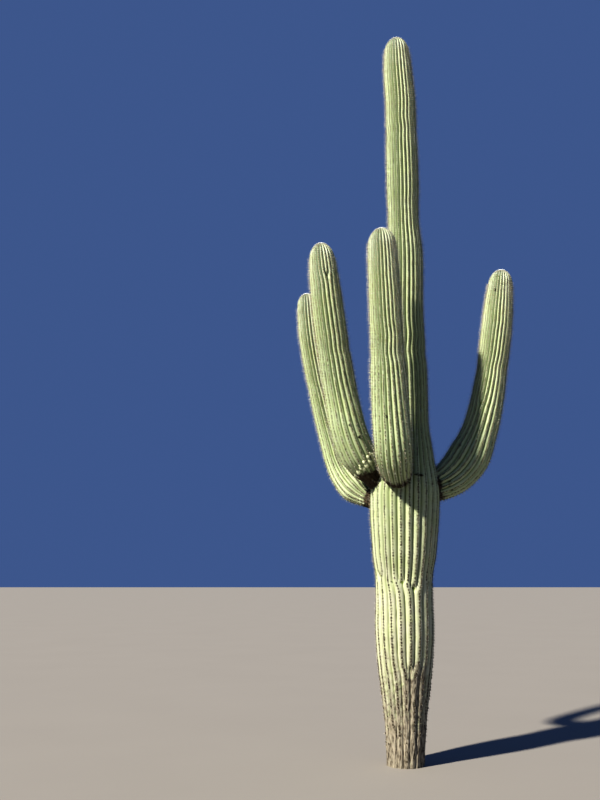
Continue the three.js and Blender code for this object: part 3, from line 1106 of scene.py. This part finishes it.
class SAGUARO_OT_trunk_skin(bpy.types.Operator):
    """Shape the ribbed skin of the trunk, with its corky foot"""

    bl_idname = "saguaro.trunk_skin"
    bl_label = "Trunk skin"

    # How much closer the rows stand at the ground, and the height over which they spread out.
    close_rows, close_reach = 1.2, 0.7

    def execute(self, context):
        sizes = context.scene.saguaro_ribs
        piece = skin_piece(trunk_limb(sizes), sizes.trunk_columns, sizes.trunk_rows,
                           self.close_rows, self.close_reach)
        finish = context.scene.saguaro_finish
        skin = waxy_skin("waxy_trunk_skin", finish, (finish.cork_light, finish.cork_dark, finish.cork_grey))
        finish_piece(piece, [skin], ["trunk"])
        return {"FINISHED"}


class SAGUARO_OT_arm_skins(bpy.types.Operator):
    """Shape the ribbed skin of each arm"""

    bl_idname = "saguaro.arm_skins"
    bl_label = "Arm skins"

    # How much closer the rows stand at the root, and the length over which they spread out.
    close_rows, close_reach = 0.8, 0.4

    def execute(self, context):
        sizes = context.scene.saguaro_ribs
        finish = context.scene.saguaro_finish
        # The necks' cork is coloured darker partly as painted shade under the arms' bends.
        skin = waxy_skin("waxy_arm_skin", finish, (finish.neck_light_painted_shade, finish.neck_dark_painted_shade, finish.neck_grey_painted_shade))
        for limb in all_limbs(context.scene)[1:]:
            piece = skin_piece(limb, sizes.arm_columns, sizes.arm_rows,
                               self.close_rows, self.close_reach)
            finish_piece(piece, [skin], [limb.name + "_elbow", limb.name + "_upright"])
        return {"FINISHED"}


class SAGUARO_OT_cushions(bpy.types.Operator):
    """Set the felt cushions that carry the spines along every crest"""

    bl_idname = "saguaro.cushions"
    bl_label = "Spine cushions"

    # How dark the felt weathers, on an arm and on the trunk, and between which distances from the tip.
    felt_age = (0.65, 1.0)
    felt_reach = (0.2, 1.4)
    # Width and height of a cushion, as shares of its length, and how its length varies.
    width, height = 0.75, 0.55
    sizes_dealt = (0.8, 1.2)

    def execute(self, context):
        sizes = context.scene.saguaro_spines
        pad = pad_template(6)
        material = felt(context.scene.saguaro_finish)
        rng = np.random.default_rng(31)
        for limb, areoles in limb_areoles(context.scene):
            grown = areoles.only(areoles.to_tip > sizes.wool_reach)
            size = sizes.cushion / 2 * rng.uniform(*self.sizes_dealt, len(grown))[:, None]
            size = size * worn(grown, OLD_CUSHION)[:, None]
            axes = (grown.across * size * self.width, grown.up * size, grown.out * size * self.height)
            piece = copies_piece(limb.name + "_cushions", pad, grown.point, axes, [material])
            age = self.felt_age[limb.name == "trunk"] * ease(grown.to_tip, *self.felt_reach)
            add_attribute(piece.data, "age", age.repeat(len(pad[0])))
        return {"FINISHED"}


class SAGUARO_OT_spines(bpy.types.Operator):
    """Set the spines of the trunk and of each arm: flat ones all round and longer ones standing out"""

    bl_idname = "saguaro.spines"
    bl_label = "Spines"

    radials, centrals = 6, 4
    # How far their turns round the cushion stray, in radians. Central spines point downwards.
    radial_stray, central_stray = 0.3, 1.1
    # Tilts away from the cushion's middle, in radians, and lengths as shares of the set ones.
    radial_tilts, central_tilts = (1.05, 1.42), (0.15, 0.85)
    radial_lengths, central_lengths = (0.7, 1.15), (0.55, 1.15)
    # Thickness of the two kinds, as shares of the set thickness.
    radial_stoutness, central_stoutness = 0.62, 1.4
    stoutness_dealt = (0.8, 1.15)
    # The trunk's spines are split at these heights, so that no piece grows too large.
    trunk_bands = (0.0, 2.6, 4.6, TRUNK_HEIGHT)
    trunk_band_names = ("lower", "middle", "upper")

    def execute(self, context):
        finish = context.scene.saguaro_finish
        horns = [horn(tint + "_horn", getattr(finish, "horn_" + tint)) for tint in HORN_TINTS]
        spike = spike_template()
        reach = context.scene.saguaro_spines.brush_reach
        rng = np.random.default_rng(47)
        for limb, areoles in limb_areoles(context.scene):
            grown = areoles.only(areoles.to_tip > reach)
            if limb.name != "trunk":
                self.make_piece(context, limb.name + "_spines", grown, spike, horns, rng)
                continue
            for rank, band in enumerate(self.trunk_band_names):
                low, high = self.trunk_bands[rank:rank + 2]
                part = grown.only((grown.point[:, 2] >= low) & (grown.point[:, 2] < high))
                self.make_piece(context, f"trunk_{band}_spines", part, spike, horns, rng)
        return {"FINISHED"}

    def make_piece(self, context, name, areoles, spike, horns, rng):
        """One joined mesh of spines."""
        sizes = context.scene.saguaro_spines
        count, cushions = self.radials + self.centrals, len(areoles)
        flat, standing = (cushions, self.radials), (cushions, self.centrals)
        even = np.arange(self.radials) * TAU / self.radials
        angles = np.concatenate([
            even + rng.uniform(-self.radial_stray, self.radial_stray, flat),
            math.pi + rng.normal(0, self.central_stray, standing)], axis=1)
        tilts = np.concatenate([
            rng.uniform(*self.radial_tilts, flat),
            rng.uniform(*self.central_tilts, standing)], axis=1)
        lengths = np.concatenate([
            sizes.radial * rng.uniform(*self.radial_lengths, flat),
            sizes.central * rng.uniform(*self.central_lengths, standing)], axis=1)
        lengths = lengths * worn(areoles, OLD_SPINE)[:, None]
        stoutness = np.repeat([self.radial_stoutness, self.central_stoutness], [self.radials, self.centrals])
        radii = sizes.thickness / 2 * rng.uniform(*self.stoutness_dealt, (cushions, count)) * stoutness
        tints = horn_tints(areoles, count, rng)
        spines_piece(name, spike, areoles, angles, tilts, lengths, radii, horns, tints)


class SAGUARO_OT_crowns(bpy.types.Operator):
    """Cover each tip with white wool and a brush of young spines"""

    bl_idname = "saguaro.crowns"
    bl_label = "Woolly crowns"

    spines_each = 9
    # Tilts of the spines, in radians, and their lengths and thickness as shares of the set ones.
    tilts, lengths, stoutness = (0.1, 1.25), (0.15, 0.36), (0.6, 0.9)
    # Size of the tufts at the wool's edge, and how much larger they are at the very tip.
    least_tuft, tuft_growth = 0.005, 0.004
    growth_dealt = (0.7, 1.2)
    # Width and height of a tuft, as shares of its length.
    width, height = 0.85, 0.9

    def execute(self, context):
        sizes, finish = context.scene.saguaro_spines, context.scene.saguaro_finish
        rng = np.random.default_rng(53)
        fleece, young = wool(finish), horn("young_horn", finish.horn_young)
        tuft, spike = pad_template(8), spike_template()
        for limb, areoles in limb_areoles(context.scene):
            woolly = areoles.only(areoles.to_tip <= sizes.wool_reach)
            near = 1 - woolly.to_tip / sizes.wool_reach
            growth = self.tuft_growth * near * rng.uniform(*self.growth_dealt, len(woolly))
            size = (self.least_tuft + growth)[:, None]
            axes = (woolly.across * size * self.width, woolly.up * size, woolly.out * size * self.height)
            copies_piece(limb.name + "_crown_wool", tuft, woolly.point, axes, [fleece])
            bristly = areoles.only(areoles.to_tip <= sizes.brush_reach)
            self.brush(limb, bristly, spike, young, sizes, rng)
        return {"FINISHED"}

    def brush(self, limb, areoles, spike, material, sizes, rng):
        """Young spines that stand out of the wool."""
        shape = (len(areoles), self.spines_each)
        angles = rng.uniform(0, TAU, shape)
        tilts = rng.uniform(*self.tilts, shape)
        lengths = sizes.central * rng.uniform(*self.lengths, shape)
        radii = sizes.thickness / 2 * rng.uniform(*self.stoutness, shape)
        spines_piece(limb.name + "_crown_spines", spike, areoles, angles, tilts, lengths, radii, [material])


class SAGUARO_OT_knobs(bpy.types.Operator):
    """Set the knobs that some ribs end in above the left arm's neck, pale partly as painted light"""

    bl_idname = "saguaro.knobs"
    bl_label = "Neck knobs"

    # Length of a knob along its rib and how far it stands out, as shares of its radius.
    length, height = 1.1, 1.15

    def execute(self, context):
        limb = next(limb for limb in all_limbs(context.scene) if limb.name == "left_arm")
        knobs = np.array(KNOBS)
        spots = SurfaceSpots(limb, np.radians(knobs[:, 0]), knobs[:, 1])
        radius = knobs[:, 2:3] / 2
        axes = (spots.across * radius, spots.up * radius * self.length, spots.out * radius * self.height)
        copies_piece("left_arm_knobs", knob_template(), spots.point, axes,
                     [young_skin(context.scene.saguaro_finish)])
        return {"FINISHED"}


class SAGUARO_OT_scars(bpy.types.Operator):
    """Set the healed wounds on the trunk and the arms, and the creases at the right arm's root, painted dark
    as their shade
    """

    bl_idname = "saguaro.scars"
    bl_label = "Scars"

    # How far a scar's whole body reaches through the skin, in metres.
    height = 0.012
    # The lip's outline wavers by this share of its radius.
    waver = 0.16

    def execute(self, context):
        material = callus(context.scene.saguaro_finish)
        points, faces = scar_template()
        rng = np.random.default_rng(61)
        for limb in all_limbs(context.scene):
            spots = np.array(SCARS[limb.name])
            marks = SurfaceSpots(limb, np.radians(spots[:, 0]), spots[:, 1])
            shaken = points * (1 + rng.uniform(-self.waver, self.waver, (len(points), 1)))
            axes = (marks.across * spots[:, 2:3] / 2, marks.up * spots[:, 3:4] / 2, marks.out * self.height)
            copies_piece(limb.name + "_scars", (shaken, faces), marks.point, axes, [material])
        return {"FINISHED"}


class SAGUARO_OT_stage(bpy.types.Operator):
    """Set the camera, the soft light, the plain backdrop and the floor"""

    bl_idname = "saguaro.stage"
    bl_label = "Stage"

    def execute(self, context):
        stage = context.scene.saguaro_stage
        add_alone(bpy.ops.mesh.primitive_plane_add, size=stage.floor_size)
        floor = start_piece("floor")
        floor.data.materials.append(plaster(stage.floor))
        bpy.ops.object.camera_add(location=(-stage.aside, -stage.distance, stage.eye_height),
                                  rotation=(math.pi / 2 + stage.pitch, 0, 0))
        camera = context.object
        camera.data.lens = stage.lens
        camera.data.sensor_width = 36
        camera.data.clip_end = stage.floor_size
        context.scene.camera = camera
        towards_sun = Vector((-math.sin(stage.sun_side) * math.cos(stage.sun_height),
                              -math.cos(stage.sun_side) * math.cos(stage.sun_height),
                              math.sin(stage.sun_height)))
        bpy.ops.object.light_add(type="SUN", location=towards_sun * 10)
        sun = context.object
        sun.rotation_euler = towards_sun.to_track_quat("Z", "Y").to_euler()
        sun.data.energy = stage.sun_strength
        sun.data.angle = stage.sun_softness
        sun.data.color = stage.sun_colour[:3]
        world = bpy.data.worlds.new("plain_backdrop")
        world.use_nodes = True
        world.node_tree.nodes["Background"].inputs["Color"].default_value = stage.backdrop
        context.scene.world = world
        context.scene.view_settings.view_transform = "Standard"
        context.scene.view_settings.look = "High Contrast"
        return {"FINISHED"}


BUILD_ORDER = ("stage", "trunk_skin", "arm_skins", "cushions", "spines", "crowns", "knobs", "scars")


class SAGUARO_PT_dressing(bpy.types.Panel):
    """Settings and steps of the saguaro"""

    bl_label = "Saguaro"
    bl_idname = "SAGUARO_PT_dressing"
    bl_space_type = "VIEW_3D"
    bl_region_type = "UI"
    bl_category = "Saguaro"

    def draw(self, context):
        for key in SETTINGS:
            group = getattr(context.scene, key)
            box = self.layout.box()
            for name in group.__annotations__:
                box.prop(group, name)
        for step in BUILD_ORDER:
            self.layout.operator("saguaro." + step)


SETTINGS = {
    "saguaro_ribs": RibSettings,
    "saguaro_spines": SpineSettings,
    "saguaro_finish": FinishSettings,
    "saguaro_stage": StageSettings,
}
CLASSES = (
    *SETTINGS.values(),
    SAGUARO_OT_stage,
    SAGUARO_OT_trunk_skin,
    SAGUARO_OT_arm_skins,
    SAGUARO_OT_cushions,
    SAGUARO_OT_spines,
    SAGUARO_OT_crowns,
    SAGUARO_OT_knobs,
    SAGUARO_OT_scars,
    SAGUARO_PT_dressing,
)


def register():
    """Register the classes and put the settings on the scene."""
    for cls in CLASSES:
        bpy.utils.register_class(cls)
    for key, group in SETTINGS.items():
        setattr(bpy.types.Scene, key, bpy.props.PointerProperty(type=group))


def unregister():
    """Take the settings and the classes away again."""
    for key in SETTINGS:
        delattr(bpy.types.Scene, key)
    for cls in reversed(CLASSES):
        bpy.utils.unregister_class(cls)


def main():
    """Build every piece in order."""
    register()
    for step in BUILD_ORDER:
        getattr(bpy.ops.saguaro, step)()


if __name__ == "__main__":
    main()
